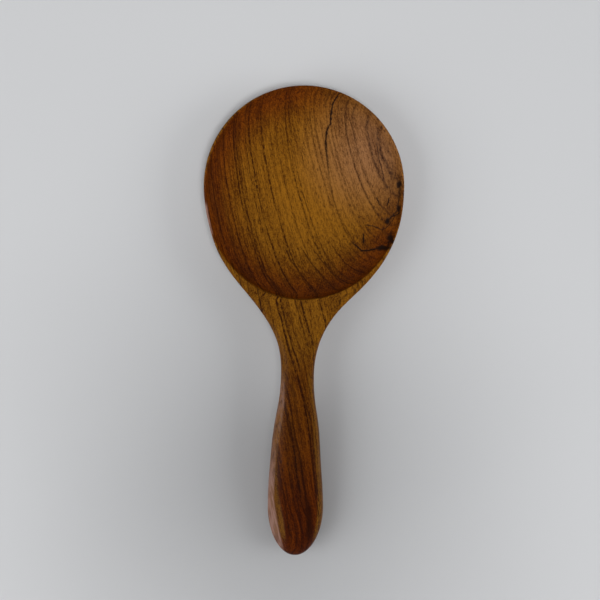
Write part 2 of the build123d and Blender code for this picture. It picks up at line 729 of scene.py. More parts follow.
    def build(self, name: str) -> bpy.types.Object:
        """Make the mesh object from the four grids and weld them.

        Args:
            name: Name of the object and its mesh.

        Returns:
            The linked object.
        """
        blocks = [
            self.bowl_grid(Side.UPPER), self.bowl_grid(Side.UNDER),
            self.grip_grid(Side.UPPER), self.grip_grid(Side.UNDER),
        ]
        return welded(name, [block[0] for block in blocks], [block[1] for block in blocks])


class Graph:
    """Small writer for a material's node tree, so that a finish reads as formulas.

    The mixing node has sockets for numbers, vectors and colours, and those of its two
    colours and of its mixed colour are named by their places.
    """

    FIRST_COLOUR = 6
    SECOND_COLOUR = 7
    MIXED_COLOUR = 2

    def __init__(self, name: str) -> None:
        """Start an empty material with an output node.

        Args:
            name: Name of the material.
        """
        self.material = bpy.data.materials.new(name)
        self.material.use_nodes = True
        self.tree = self.material.node_tree
        self.tree.nodes.clear()
        self.output = self.tree.nodes.new("ShaderNodeOutputMaterial")

    def node(self, kind: str, inputs: dict | None = None, **settings: object) -> bpy.types.Node:
        """Add a node, set its own settings and fill its inputs with values or links.

        Args:
            kind: Blender's name of the node type.
            inputs: Values or output sockets, keyed by input name or number.
            **settings: Properties of the node itself.

        Returns:
            The new node.
        """
        made = self.tree.nodes.new(kind)
        for key, value in settings.items():
            setattr(made, key, value)
        for key, value in (inputs or {}).items():
            self.feed(made.inputs[key], value)
        return made

    def feed(self, socket: Socket, value: object) -> None:
        """Link an output socket into an input, or set the input's own value.

        Args:
            socket: The input.
            value: An output socket, or a number, vector or colour.
        """
        if isinstance(value, Socket):
            self.tree.links.new(value, socket)
        else:
            socket.default_value = value

    def finish(self, shader: bpy.types.Node) -> bpy.types.Material:
        """Link a shader into the output and hand out the material."""
        self.feed(self.output.inputs[0], shader.outputs[0])
        return self.material

    def maths(self, operation: str, *values: object) -> Socket:
        """One step of arithmetic on numbers or sockets."""
        return self.node("ShaderNodeMath", dict(enumerate(values)), operation=operation).outputs[0]

    def add(self, first: object, second: object) -> Socket:
        """First plus second."""
        return self.maths("ADD", first, second)

    def times(self, first: object, second: object) -> Socket:
        """First times second."""
        return self.maths("MULTIPLY", first, second)

    def ramp(
        self, value: object, low: float, high: float, start: float = 0.0, end: float = 1.0
    ) -> Socket:
        """Smooth step of a value.

        Args:
            value: What is followed.
            low: Value at which the step starts.
            high: Value at which it ends.
            start: Result up to low.
            end: Result from high on.

        Returns:
            The result.
        """
        made = self.node(
            "ShaderNodeMapRange", {0: value, 1: low, 2: high, 3: start, 4: end},
            interpolation_type="SMOOTHSTEP",
        )
        return made.outputs[0]

    def field(self, name: str) -> Socket:
        """A number that the mesh carries at its points."""
        return self.node("ShaderNodeAttribute", attribute_name=name).outputs["Fac"]

    def noise(self, vector: object, detail: float = 2.0, roughness: float = 0.5) -> Socket:
        """Fractal noise about 0.5, a wave to each unit of the place.

        Args:
            vector: The place.
            detail: Number of finer waves on top of the first.
            roughness: Strength of each finer wave in the one before.

        Returns:
            The noise.
        """
        made = self.node("ShaderNodeTexNoise", {
            "Vector": vector, "Scale": 1.0, "Detail": detail, "Roughness": roughness,
        })
        return made.outputs["Fac"]

    def vector_node(self, operation: str, *vectors: object) -> bpy.types.Node:
        """Node of one step of arithmetic on vectors."""
        return self.node("ShaderNodeVectorMath", dict(enumerate(vectors)), operation=operation)

    def measure(self, operation: str, *vectors: object) -> Socket:
        """A number made from vectors, such as a length."""
        return self.vector_node(operation, *vectors).outputs["Value"]

    def stretched(self, vector: object, scale: tuple) -> Socket:
        """A place scaled along each axis."""
        return self.vector_node("MULTIPLY", vector, scale).outputs[0]

    def joined(self, first: object, second: object, third: object) -> Socket:
        """Vector of three numbers."""
        return self.node("ShaderNodeCombineXYZ", {0: first, 1: second, 2: third}).outputs[0]

    def split(self, vector: object) -> object:
        """The three numbers of a vector, a socket for each."""
        return self.node("ShaderNodeSeparateXYZ", {0: vector}).outputs

    def mixed(self, share: object, first: object, second: object) -> Socket:
        """Colour a share of the way from first to second.

        Args:
            share: The share.
            first: Colour at 0.
            second: Colour at 1.

        Returns:
            The colour.
        """
        colours = {self.FIRST_COLOUR: first, self.SECOND_COLOUR: second}
        made = self.node("ShaderNodeMix", {0: share, **colours}, data_type="RGBA")
        return made.outputs[self.MIXED_COLOUR]


@dataclass(frozen=True)
class GrowthRings:
    """Layers of the tree in the block, as a height in millimetres along their slanted axis.

    The height is a slanted plane with a slow bend, given by square and cube terms of the
    place. Behind the bowl the bend no longer grows, and a drift along the grip comes in over
    a short step at the hollow's lip.
    """

    slant: tuple = (-0.646, -0.202, 0.710)
    squares: tuple = (0.77e-3, -1.21e-3, -0.62e-3)
    cubes: tuple = (-1.41e-5, -0.63e-5, -2.20e-5)
    bend_end: float = -46.0
    lip: float = -45.0
    lip_step: float = 4.0
    drift: tuple = (
        (-158.0, -4.3), (-145.0, -4.3), (-125.0, -4.9), (-103.0, -4.3),
        (-83.0, -3.8), (-67.0, -3.6), (-54.0, -2.9), (-44.0, -2.5),
    )

    def height(self, places: np.ndarray) -> np.ndarray:
        """Ring height: the slanted plane, the squares and cubes of x and y, and the drift.

        Args:
            places: One place in metres in each row.

        Returns:
            The heights in millimetres.
        """
        x, y, z = (MILLIMETRES * places).T
        bent = np.maximum(y, self.bend_end)
        plane = self.slant[0] * x + self.slant[1] * y + self.slant[2] * z
        square = self.squares[0] * x * x + self.squares[1] * bent * bent + self.squares[2] * x * bent
        cube = self.cubes[0] * x**3 + self.cubes[1] * bent**3 + self.cubes[2] * x * x * bent
        behind = ease((self.lip - y) / self.lip_step)
        return plane + square + cube + behind * paired_line(self.drift, y)

    def write(self, piece: bpy.types.Object) -> None:
        """Store the height at every point of a mesh under the name ring."""
        keep(piece.data, "ring", self.height(points_of(piece.data)))


@dataclass(frozen=True)
class EdgeWearAndLight:
    """Paler colour along the edges, as shares at every point: rubbed wood and painted light.

    Each strip of the grip lies outside a line of distances and offsets from its middle. The
    left bevel's outer part is a strip of wood rubbed pale by the hand with a painted sheen on it,
    and the strips beside it and on the right are painted light on the bevels that face the lamps.
    They fade out below the widest height, over the height of the ledge. A short stretch of the
    bowl's left rim, outside a share of its half width, gets a painted glint.
    """

    # Left bevel's strip of rubbed wood with a painted sheen: its inner line and its share along the
    # grip.
    wear_and_sheen_line: tuple = (
        (0.078, 0.0055), (0.091, 0.0053), (0.099, 0.0061), (0.108, 0.0072), (0.116, 0.0083),
        (0.125, 0.0089), (0.134, 0.0091), (0.1425, 0.0078), (0.151, 0.0059), (0.157, 0.0047),
    )
    wear_and_sheen_share: tuple = ((0.074, 0.0), (0.084, 0.42), (0.113, 0.38), (0.124, 1.0), (0.154, 0.9))
    # Inner line of the painted light on the right bevel.
    lit_bevel_line: tuple = (
        (0.074, 0.0042), (0.082, 0.0044), (0.0905, 0.0058), (0.103, 0.0072), (0.1115, 0.0079),
        (0.120, 0.0088), (0.129, 0.0094), (0.138, 0.0095), (0.146, 0.0085), (0.157, 0.0068),
    )
    grip_start: float = 0.074
    grip_onset: float = 0.010
    width: float = 0.0009
    ledge: float = 0.0025
    ledge_share: float = 1.1
    lit_bevel_end: float = 0.147
    lit_bevel_fade: float = 0.006
    # The painted glint on the left rim: shares of the outline, distances, fade and depth.
    rim_share: tuple = (0.966, 0.982)
    rim_stretch: tuple = (0.0075, 0.0195)
    rim_fade: float = 0.003
    rim_depth_share: float = 2.0

    def _outside(self, line: tuple, offset: np.ndarray, distance: np.ndarray) -> np.ndarray:
        """Share that eases from 0 inside a line to 1 outside it."""
        return ease((offset - paired_line(line, distance)) / self.width + 0.5)

    def _strips(
        self, form: PaddleForm, offset: np.ndarray, distance: np.ndarray, height: np.ndarray
    ) -> tuple:
        """Strips along the grip: outside their lines, above the ledge and behind the start.

        Args:
            form: Sizes and lines of the paddle.
            offset: Offsets of the points from the grip's middle.
            distance: Distances behind the bowl's middle.
            height: Heights above the table.

        Returns:
            The shares of the left strip, rubbed wood with painted sheen, and of the painted bevel
            light.
        """
        widest = form.widest_line(np.maximum(distance, self.grip_start))
        above = ease((height - widest) / self.ledge + self.ledge_share)
        above *= ease((distance - self.grip_start) / self.grip_onset)
        # Rubbed wood with a painted sheen on the left bevel's outer part.
        share = paired_line(self.wear_and_sheen_share, distance)
        wear_and_sheen = self._outside(self.wear_and_sheen_line, -offset, distance) * share
        # Painted light on both bevels where they face the lamps.
        lit_bevel = np.maximum(
            self._outside(form.left_ridge, -offset, distance),
            self._outside(self.lit_bevel_line, offset, distance),
        )
        lit_bevel *= 1.0 - ease((distance - self.lit_bevel_end) / self.lit_bevel_fade)
        return wear_and_sheen * above, lit_bevel * above

    def _rim(
        self, form: PaddleForm, across: np.ndarray, distance: np.ndarray, height: np.ndarray
    ) -> np.ndarray:
        """Painted glint on a stretch of the left rim: outermost, on the left, and near the rim's
        height.

        Args:
            form: Sizes and lines of the paddle.
            across: Offsets of the points to the right.
            distance: Distances behind the bowl's middle.
            height: Heights above the table.

        Returns:
            The share of the painted glint.
        """
        inner, outer = self.rim_share
        near, far = self.rim_stretch
        # Painted glint along the rim's outer edge.
        share = ease((form.edge_share(across, distance) - inner) / (outer - inner))
        share *= ease(-across / self.width)
        share *= ease((distance - near) / self.rim_fade)
        share *= 1.0 - ease((distance - far) / self.rim_fade)
        depth = (height - form.widest_line(distance)) / form.rim_round
        return share * ease(depth + self.rim_depth_share)

    def write(self, piece: bpy.types.Object, form: PaddleForm) -> None:
        """Store the shares of rubbed wood with painted sheen and glint, and of painted bevel light,
        at every point of a mesh, each under its own name.

        Args:
            piece: Object whose mesh gets the values.
            form: Sizes and lines of the paddle.
        """
        x, y, z = points_of(piece.data).T
        wear_and_sheen, lit_bevel = self._strips(form, x - form.sway_line(-y), -y, z)
        # One share holds the left strip's rubbed wood and painted sheen, and the rim's painted glint.
        keep(piece.data, "wear_and_sheen", np.maximum(wear_and_sheen, self._rim(form, x, -y, z)))
        # Painted light on the bevels.
        keep(piece.data, "lit_bevel", lit_bevel)


@dataclass(frozen=True)
class GrainLayer:
    """One layer of fractal noise in the wood.

    Its pitch is in waves per millimetre across the rings, along the fibres and across them.
    Where the noise goes from low to high, the layer goes from least to most.
    """

    pitch: tuple
    low: float
    high: float
    least: float = 0.0
    most: float = 1.0
    detail: float = 2.0
    roughness: float = 0.5

    def value(self, graph: Graph, grain: Socket) -> Socket:
        """The layer at a place in the wood."""
        noise = graph.noise(graph.stretched(grain, self.pitch), self.detail, self.roughness)
        return graph.ramp(noise, self.low, self.high, self.least, self.most)


class Heading(Enum):
    """The plan axis that a drawn mark runs along."""

    X = 0
    Y = 1


@dataclass(frozen=True)
class DrawnMark:
    """A dark line in the wood, drawn from the photograph.

    Its points are in millimetres in plan, first along its heading and then across it. It
    fades in over its tail or its fade, whichever is longer, and out over its fade.
    """

    heading: Heading
    points: tuple
    half_width: float
    strength: float = 1.0
    fade: float = 1.5
    tail: float = 0.0


@dataclass(frozen=True)
class Spot:
    """A small dark inclusion: its middle and its two half lengths in millimetres."""

    middle: tuple
    reach: tuple


# Ring lines: ring height, half width in millimetres and strength.
RING_LINES = (
    (-16.6, 0.4, 0.7), (-15.1, 0.4, 0.6), (-12.6, 0.35, 0.5), (-11.1, 0.4, 0.65),
    (-9.4, 0.3, 0.35), (-7.6, 0.4, 0.45), (-6.7, 0.35, 0.4), (-5.0, 0.3, 0.25),
    (-3.6, 0.4, 0.45), (-2.4, 0.35, 0.5), (-0.9, 0.4, 0.35), (0.4, 0.25, 0.2),
    (1.4, 0.3, 0.3), (2.7, 0.25, 0.2), (3.9, 0.35, 0.55), (5.1, 0.45, 0.65),
    (6.4, 0.25, 0.2), (8.4, 0.35, 0.5), (10.5, 0.3, 0.3), (13.3, 0.45, 0.8),
    (18.1, 0.5, 1.0), (19.6, 0.4, 0.65), (22.1, 0.3, 0.45), (23.6, 0.45, 0.85),
    (24.7, 0.5, 1.0), (27.2, 0.35, 0.5), (29.5, 0.5, 1.0), (31.5, 0.35, 0.6),
    (33.0, 0.4, 0.7), (34.3, 0.35, 0.6), (36.4, 0.45, 0.8), (38.6, 0.4, 0.7),
    (41.0, 0.45, 0.7),
)

# Lightness of the wood: broad bands, wide streaks, hair lines, short dashes and a speckle.
TONE_LAYERS = (
    GrainLayer((0.16, 0.012, 0.05), 0.30, 0.70, least=-0.06, most=0.12),
    GrainLayer((0.9, 0.05, 0.4), 0.36, 0.64, most=0.28, detail=3.0, roughness=0.65),
    GrainLayer((2.6, 0.07, 1.6), 0.40, 0.60, most=0.26, roughness=0.6),
    GrainLayer((2.0, 0.55, 2.0), 0.38, 0.62, most=0.25, roughness=0.6),
    GrainLayer((1.8, 1.6, 1.8), 0.40, 0.60, most=0.25, detail=1.0),
)

# The crack and its wide part, five lines about the knot by the right wall, then short
# marks. Half width, strength, fade and tail follow the points.
MARKS = (
    DrawnMark(Heading.Y, (
        (-8.0, 13.4), (1.0, 11.2), (8.7, 10.2), (16.8, 9.1), (20.4, 8.8), (24.6, 9.2),
        (27.7, 10.7), (31.4, 10.8), (35.8, 11.4), (40.1, 14.6),
    ), 0.6, 1.0, 1.0, 30.0),
    DrawnMark(Heading.Y, ((14.0, 9.4), (20.4, 8.8), (24.6, 9.2), (29.0, 10.7)), 0.9, 0.6, 4.0),
    DrawnMark(Heading.Y, (
        (-14.6, 35.2), (-12.4, 37.3), (-9.8, 39.6), (-4.0, 40.6), (3.5, 40.6),
    ), 0.7, 0.75, 1.5),
    DrawnMark(Heading.Y, ((-26.0, 35.6), (-22.0, 37.0), (-17.5, 37.6)), 0.7, 0.8, 1.2),
    DrawnMark(Heading.X, (
        (20.3, -22.4), (23.1, -24.5), (25.4, -26.8), (28.4, -26.6), (31.5, -25.8), (37.5, -25.3),
    ), 0.6, 1.0, 0.6, 2.5),
    DrawnMark(Heading.X, (
        (26.5, -15.5), (29.6, -16.0), (33.8, -17.6), (36.2, -16.2), (39.4, -11.3),
    ), 0.45, 0.8, 1.0, 1.0),
    DrawnMark(Heading.X, ((35.6, -14.1), (37.4, -12.2), (41.4, -10.2)), 0.4, 1.0, 0.6, 0.6),
    DrawnMark(Heading.Y, ((-7.5, 33.0), (-3.5, 31.0)), 0.45, 0.95, 0.8, 0.8),
    DrawnMark(Heading.Y, ((-7.5, 35.7), (-3.5, 36.5)), 0.45, 0.95, 0.8, 0.8),
    DrawnMark(Heading.Y, ((-23.9, 26.1), (-19.0, 26.0)), 0.55, 1.0, 0.8, 0.8),
    DrawnMark(Heading.Y, ((-45.6, 22.6), (-42.8, 22.5)), 0.45, 0.8, 0.8, 0.8),
    DrawnMark(Heading.Y, ((-50.2, 16.4), (-46.8, 16.4)), 0.45, 0.7, 0.8, 0.8),
    DrawnMark(Heading.Y, ((-38.6, -28.1), (-33.2, -29.9)), 0.4, 0.7, 0.8, 0.8),
    DrawnMark(Heading.Y, ((-51.3, -16.9), (-43.8, -18.7)), 0.4, 0.6, 0.8, 0.8),
)

# Softer dark streaks: ten along the grip and twelve in the hollow.
STREAKS = (
    DrawnMark(Heading.Y, ((-107.6, -2.7), (-102.5, -3.7), (-97.0, -4.7), (-92.0, -6.3)), 0.75, 0.75),
    DrawnMark(Heading.Y, (
        (-151.5, 5.6), (-145.2, 5.9), (-139.6, 5.3), (-133.2, 4.3), (-128.8, 3.7), (-124.5, 2.8),
        (-118.1, 1.8), (-112.6, 0.8), (-107.5, -0.6), (-101.2, -2.0), (-95.7, -2.8), (-90.7, -4.0),
        (-84.4, -5.4),
    ), 0.65, 0.8, 3.0),
    DrawnMark(Heading.Y, ((-153.0, 5.5), (-145.0, 6.0), (-139.0, 5.6), (-131.0, 4.6)), 2.2, 0.8, 6.0),
    DrawnMark(Heading.Y, (
        (-104.0, 1.0), (-98.2, 0.0), (-92.7, -1.0), (-87.2, -2.2), (-82.2, -2.9),
    ), 0.5, 0.5, 2.0),
    DrawnMark(Heading.Y, (
        (-101.1, 6.0), (-96.8, 4.6), (-92.6, 3.2), (-88.4, 1.8), (-84.2, 0.5), (-78.8, -0.9),
    ), 0.65, 0.75, 2.0),
    DrawnMark(Heading.Y, (
        (-132.0, 8.9), (-126.7, 8.4), (-122.4, 7.4), (-118.1, 6.8), (-111.7, 5.8), (-104.0, 5.2),
    ), 0.65, 0.8, 1.5),
    DrawnMark(Heading.Y, (
        (-149.8, -2.1), (-144.1, -2.9), (-137.7, -4.1), (-131.3, -5.1), (-125.7, -6.5),
        (-120.6, -7.5), (-114.2, -8.5),
    ), 0.6, 0.7, 2.5),
    DrawnMark(Heading.Y, ((-152.8, 3.1), (-146.1, 2.5), (-137.5, 1.4), (-129.8, 0.4)), 0.5, 0.55, 3.0),
    DrawnMark(Heading.Y, ((-129.8, -1.3), (-122.5, -1.9), (-116.9, -2.5)), 0.5, 0.45, 3.0),
    DrawnMark(Heading.Y, ((-91.0, -4.6), (-86.0, -5.2), (-78.0, -4.6)), 1.4, 0.35, 4.0),
    DrawnMark(Heading.Y, ((21.5, 17.9), (26.9, 17.1), (31.8, 16.3)), 0.45, 0.7),
    DrawnMark(Heading.Y, ((19.4, 22.2), (24.8, 20.4), (29.7, 18.5)), 0.4, 0.6),
    DrawnMark(Heading.Y, ((2.0, 34.6), (5.8, 33.6), (13.0, 31.7), (20.5, 30.2)), 0.4, 0.75, 2.0),
    DrawnMark(Heading.Y, ((3.7, 32.5), (9.7, 30.2), (16.4, 28.3)), 0.35, 0.6, 2.0),
    DrawnMark(Heading.Y, (
        (-22.4, 20.4), (-17.9, 18.1), (-11.0, 15.0), (-3.7, 12.6), (3.6, 11.2),
    ), 0.4, 0.65, 4.0),
    DrawnMark(Heading.X, (
        (11.0, -22.0), (13.1, -25.3), (18.4, -32.2), (23.5, -35.5), (27.6, -36.5),
    ), 0.55, 0.75, 2.0),
    DrawnMark(Heading.Y, ((-42.5, 19.3), (-39.1, 15.1), (-34.1, 10.8), (-26.4, 4.6)), 0.6, 0.7, 2.0),
    DrawnMark(Heading.Y, ((-44.3, 15.1), (-39.3, 10.0), (-32.5, 3.9), (-25.7, -0.6)), 0.6, 0.75, 2.0),
    DrawnMark(Heading.Y, ((-46.6, 7.6), (-38.6, 0.6), (-31.9, -4.7), (-25.9, -7.5)), 0.6, 0.7, 2.0),
    DrawnMark(Heading.Y, (
        (-46.9, -5.6), (-44.5, -9.5), (-38.2, -14.8), (-32.3, -18.4),
    ), 0.6, 0.6, 2.0),
    DrawnMark(Heading.Y, ((-40.1, -20.6), (-34.2, -23.4), (-24.8, -27.1)), 0.5, 0.6, 2.0),
    DrawnMark(Heading.Y, ((-39.8, 22.7), (-38.2, 19.3), (-34.0, 13.7), (-27.6, 8.9)), 0.5, 0.5, 2.0),
)

# Dark inclusions by the right wall.
SPOTS = (
    Spot((40.4, 1.6), (1.0, 1.9)),
    Spot((40.3, -8.6), (0.9, 1.7)),
    Spot((36.0, -13.9), (1.0, 1.5)),
    Spot((37.2, -21.4), (1.5, 1.6)),
    Spot((34.2, -25.5), (3.1, 1.1)),
    Spot((38.0, -22.8), (0.9, 1.1)),
)


@dataclass(frozen=True)
class TeakFinish:
    """Oiled teak, built in layers on the slanted growth rings.

    A place in the wood is given in millimetres as ring height, along the fibres and across
    them. Slow colour bands, dark ring lines broken into rows of pores, short pores all over
    and the drawn marks are laid over each other, then a satin shine. The ground colour also
    holds painted shade on the hollow's walls and painted sheen in its middle and on its right
    wall. A step is four numbers: the two ends of a stretch and the values there. Depths are
    shares of the bump's distance.
    """

    light: tuple = (0.265, 0.105, 0.0070, 1.0)
    deep: tuple = (0.042, 0.008, 0.0003, 1.0)
    # Ruddy colours: the grip's darker wood, and painted shade on the hollow's walls.
    ruddy_light: tuple = (0.140, 0.026, 0.0007, 1.0)
    ruddy_deep: tuple = (0.024, 0.002, 0.0001, 1.0)
    line: tuple = (0.019, 0.003, 0.0002, 1.0)
    mark: tuple = (0.010, 0.003, 0.001, 1.0)
    # Paler colour: rubbed wood and painted sheen on the grip, painted glint on the rim, painted sheen
    # on the hollow's right wall.
    wear_and_sheen: tuple = (0.350, 0.195, 0.150, 1.0)

    # The hollow's walls: painted shade, darker and redder up to the lip.
    hollow_middle: tuple = (0.0, -0.0028, 0.0)
    hollow_reach: tuple = (0.0426, 0.0457)
    wall_step: tuple = (0.54, 0.94, 0.0, 1.0)
    wall_end_step: tuple = (0.985, 0.998, 1.0, 0.0)
    # Lit place on the hollow's right wall: painted sheen there, and less painted shade.
    painted_sheen_place: tuple = (0.027, 0.016, 0.010)
    shade_by_sheen_step: tuple = (0.014, 0.042, 0.12, 0.88)
    painted_sheen_step: tuple = (0.0, 0.036, 0.30, 0.0)
    # Painted sheen: lighter golden wood about the hollow's middle.
    golden_sheen_middle: tuple = (0.011, -0.003, 0.007)
    golden_sheen_step: tuple = (0.008, 0.033, 0.33, 0.0)
    # Ruddy wood along the neck and grip, less under the painted bevel light.
    neck_ruddy_step: tuple = (-0.083, -0.065, 0.6, 0.0)
    grip_ruddy_step: tuple = (-0.142, -0.088, 0.4, 0.0)
    lit_bevel_share: float = 0.9

    fibre: tuple = (-0.22, 0.97, 0.08)
    wavers: tuple = (((0.10, 0.035, 0.06), 0.7), ((0.5, 0.16, 0.3), 0.4))
    ruddy_bands: GrainLayer = GrainLayer((0.42, 0.02, 0.12), 0.40, 0.58, 0.62, 1.12)
    line_dashes: GrainLayer = GrainLayer((1.2, 0.6, 1.2), 0.40, 0.56, 0.35, 1.3, roughness=0.6)
    line_patches: GrainLayer = GrainLayer((0.3, 0.06, 0.2), 0.32, 0.58, 0.6, 1.0)
    line_most: float = 0.95
    pores: GrainLayer = GrainLayer((2.6, 0.50, 2.6), 0.58, 0.70, detail=1.0)
    pore_share: float = 0.55
    wear_and_sheen_streaks: GrainLayer = GrainLayer(
        (1.6, 0.10, 1.0), 0.36, 0.62, 0.38, 1.0, detail=3.0, roughness=0.6
    )
    shine_streaks: GrainLayer = GrainLayer((1.2, 0.12, 0.8), 0.3, 0.7, 0.32, 0.45, detail=3.0)
    shine: float = 0.06

    wander_pitch: float = 0.9
    wander_detail: float = 3.0
    wander_roughness: float = 0.6
    wander_reach: float = 1.3
    core_share: float = 0.2
    end_run: float = 0.2
    curve_margin: float = 1.0
    spot_step: tuple = (0.1, 1.7, 1.0, 0.0)

    line_depth: float = -0.5
    pore_depth: float = -0.4
    mark_depth: float = -1.0
    bump_strength: float = 0.35
    bump_distance: float = 0.0002

    def material(self) -> bpy.types.Material:
        """Build the shader from its layers.

        Returns:
            The finished material.
        """
        graph = Graph("teak")
        place = graph.node("ShaderNodeTexCoord").outputs["Object"]
        grain = self._grain(graph, place)
        lines = self._ring_lines(graph, grain)
        pores = self.pores.value(graph, grain)
        axes = self._wandering(graph, place)
        streaks = self._drawn(graph, axes, STREAKS, ())
        marks = self._drawn(graph, axes, MARKS, SPOTS)
        # Rubbed wood with painted sheen, and the rim's painted glint, broken into streaks.
        wear_and_sheen = graph.times(graph.field("wear_and_sheen"), self.wear_and_sheen_streaks.value(graph, grain))
        colour = self._ground(graph, place, grain)
        colour = graph.mixed(graph.times(pores, self.pore_share), colour, self.line)
        colour = graph.mixed(graph.maths("MAXIMUM", lines, streaks), colour, self.line)
        colour = graph.mixed(marks, colour, self.mark)
        colour = graph.mixed(wear_and_sheen, colour, self.wear_and_sheen)
        dents = graph.add(graph.times(lines, self.line_depth), graph.times(pores, self.pore_depth))
        dents = graph.add(dents, graph.times(marks, self.mark_depth))
        bump = graph.node("ShaderNodeBump", {
            "Strength": self.bump_strength, "Distance": self.bump_distance, "Height": dents,
        })
        shader = graph.node("ShaderNodeBsdfPrincipled", {
            "Base Color": colour,
            "Roughness": self.shine_streaks.value(graph, grain),
            "Specular IOR Level": self.shine,
            "Normal": bump.outputs[0],
        })
        return graph.finish(shader)

    def _grain(self, graph: Graph, place: Socket) -> Socket:
        """Place in the wood: wavering ring height, along the fibres and across them.

        The two lengths are the place's products with the fibre's direction and with the
        direction square to fibre and rings. Two slow noises shift the ring height.

        Args:
            graph: Writer of the material.
            place: Place on the object in metres.

        Returns:
            The three numbers as one vector, in millimetres.
        """
        fibre = Vector(self.fibre).normalized()
        side = Vector(GrowthRings.slant).normalized().cross(fibre).normalized()
        along = graph.measure("DOT_PRODUCT", place, fibre * MILLIMETRES)
        across = graph.measure("DOT_PRODUCT", place, side * MILLIMETRES)
        ring = graph.field("ring")
        still = graph.joined(ring, along, across)
        for pitch, reach in self.wavers:
            noise = graph.noise(graph.stretched(still, pitch))
            ring = graph.add(ring, graph.times(graph.add(noise, -NOISE_MIDDLE), reach))
        return graph.joined(ring, along, across)

    def _tone(self, graph: Graph, grain: Socket) -> Socket:
        """Lightness of the wood, from 0 to 1: all tone layers added up.

        Args:
            graph: Writer of the material.
            grain: Place in the wood.

        Returns:
            The lightness.
        """
        total = 0.0
        for layer in TONE_LAYERS:
            total = graph.add(total, layer.value(graph, grain))
        return graph.maths("MINIMUM", total, 1.0)

    def _walls(self, graph: Graph, place: Socket) -> Socket:
        """Share of painted shade up the hollow's walls, in ruddy colours, least about the lit place
        of the painted sheen on the right wall.

        The share follows the length of the place from the hollow's middle, each way over the
        hollow's reach, so it is 0 in the middle and 1 just inside the lip.

        Args:
            graph: Writer of the material.
            place: Place on the object in metres.

        Returns:
            The share.
        """
        reach = (1.0 / self.hollow_reach[0], 1.0 / self.hollow_reach[1], 0.0)
        inner = graph.vector_node("SUBTRACT", place, self.hollow_middle).outputs[0]
        away = graph.measure("LENGTH", graph.stretched(inner, reach))
        # Painted shade, growing up the walls and fading out at the lip.
        wall = graph.times(graph.ramp(away, *self.wall_step), graph.ramp(away, *self.wall_end_step))
        # Less painted shade about the lit place on the right wall.
        pale = graph.measure("DISTANCE", place, self.painted_sheen_place)
        wall = graph.times(wall, graph.ramp(pale, *self.shade_by_sheen_step))
        return graph.times(wall, graph.field("upper"))

    def _grip(self, graph: Graph, place: Socket) -> Socket:
        """Share of ruddy wood along the neck and grip, less on the painted light of the bevels.

        Args:
            graph: Writer of the material.
            place: Place on the object in metres.

        Returns:
            The share.
        """
        ahead = graph.split(place)[1]
        share = graph.add(
            graph.ramp(ahead, *self.neck_ruddy_step), graph.ramp(ahead, *self.grip_ruddy_step)
        )
        kept = graph.add(1.0, graph.times(graph.field("lit_bevel"), -self.lit_bevel_share))
        return graph.times(share, kept)

    def _ground(self, graph: Graph, place: Socket, grain: Socket) -> Socket:
        """Colour under the lines: painted golden sheen in the hollow's middle, painted pale sheen on
        its right wall, painted shade in ruddy colours up its walls, and ruddy wood along the grip.

        Args:
            graph: Writer of the material.
            place: Place on the object in metres.
            grain: Place in the wood.

        Returns:
            The colour.
        """
        # Painted sheen: lighter golden wood about the hollow's middle.
        away = graph.measure("DISTANCE", place, self.golden_sheen_middle)
        lift = graph.add(self._tone(graph, grain), graph.ramp(away, *self.golden_sheen_step))
        tone = graph.maths("MINIMUM", lift, 1.0)
        # Painted sheen on the hollow's right wall, in the paler colour.
        tint = graph.measure("DISTANCE", place, self.painted_sheen_place)
        tint = graph.times(graph.ramp(tint, *self.painted_sheen_step), tone)
        gold = graph.mixed(tint, graph.mixed(tone, self.deep, self.light), self.wear_and_sheen)
        banded = graph.times(tone, self.ruddy_bands.value(graph, grain))
        ruddy = graph.mixed(banded, self.ruddy_deep, self.ruddy_light)
        # Painted shade on the hollow's walls, and the grip's ruddy wood.
        share = graph.maths("MAXIMUM", self._grip(graph, place), self._walls(graph, place))
        return graph.mixed(share, gold, ruddy)

    def _ring_lines(self, graph: Graph, grain: Socket) -> Socket:
        """Dark lines at the listed ring heights, broken up along the fibres.

        Args:
            graph: Writer of the material.
            grain: Place in the wood.

        Returns:
            How dark the lines are.
        """
        ring = graph.split(grain)[0]
        total = 0.0
        for place, half_width, strength in RING_LINES:
            offset = graph.maths("ABSOLUTE", graph.add(ring, -place))
            total = graph.add(total, graph.ramp(offset, 0.0, half_width, strength, 0.0))
        kept = graph.times(self.line_dashes.value(graph, grain), self.line_patches.value(graph, grain))
        return graph.maths("MINIMUM", graph.times(total, kept), self.line_most)

    def _wandering(self, graph: Graph, place: Socket) -> object:
        """Place in plan in millimetres, shifted a little by noise so that lines waver.

        Args:
            graph: Writer of the material.
            place: Place on the object in metres.

        Returns:
            The three axes as sockets.
        """
        plan = graph.stretched(place, (MILLIMETRES, MILLIMETRES, 0.0))
        rough = graph.node("ShaderNodeTexNoise", {
            "Vector": plan, "Scale": self.wander_pitch,
            "Detail": self.wander_detail, "Roughness": self.wander_roughness,
        }).outputs["Color"]
        shift = graph.vector_node("SUBTRACT", rough, (NOISE_MIDDLE,) * 3).outputs[0]
        reach = (self.wander_reach, self.wander_reach, 0.0)
        return graph.split(graph.vector_node("MULTIPLY_ADD", shift, reach, plan).outputs[0])

    def _drawn(self, graph: Graph, axes: object, marks: tuple, spots: tuple) -> Socket:
        """The given drawn lines and spots of the upper skin, laid over each other.

        Args:
            graph: Writer of the material.
            axes: Place in plan, an axis in each socket.
            marks: The drawn lines.
            spots: The inclusions.

        Returns:
            How dark the wood is there.
        """
        total = 0.0
        for mark in marks:
            total = graph.maths("MAXIMUM", total, self._mark(graph, axes, mark))
        for spot in spots:
            total = graph.maths("MAXIMUM", total, self._spot(graph, axes, spot))
        return graph.times(total, graph.field("upper"))

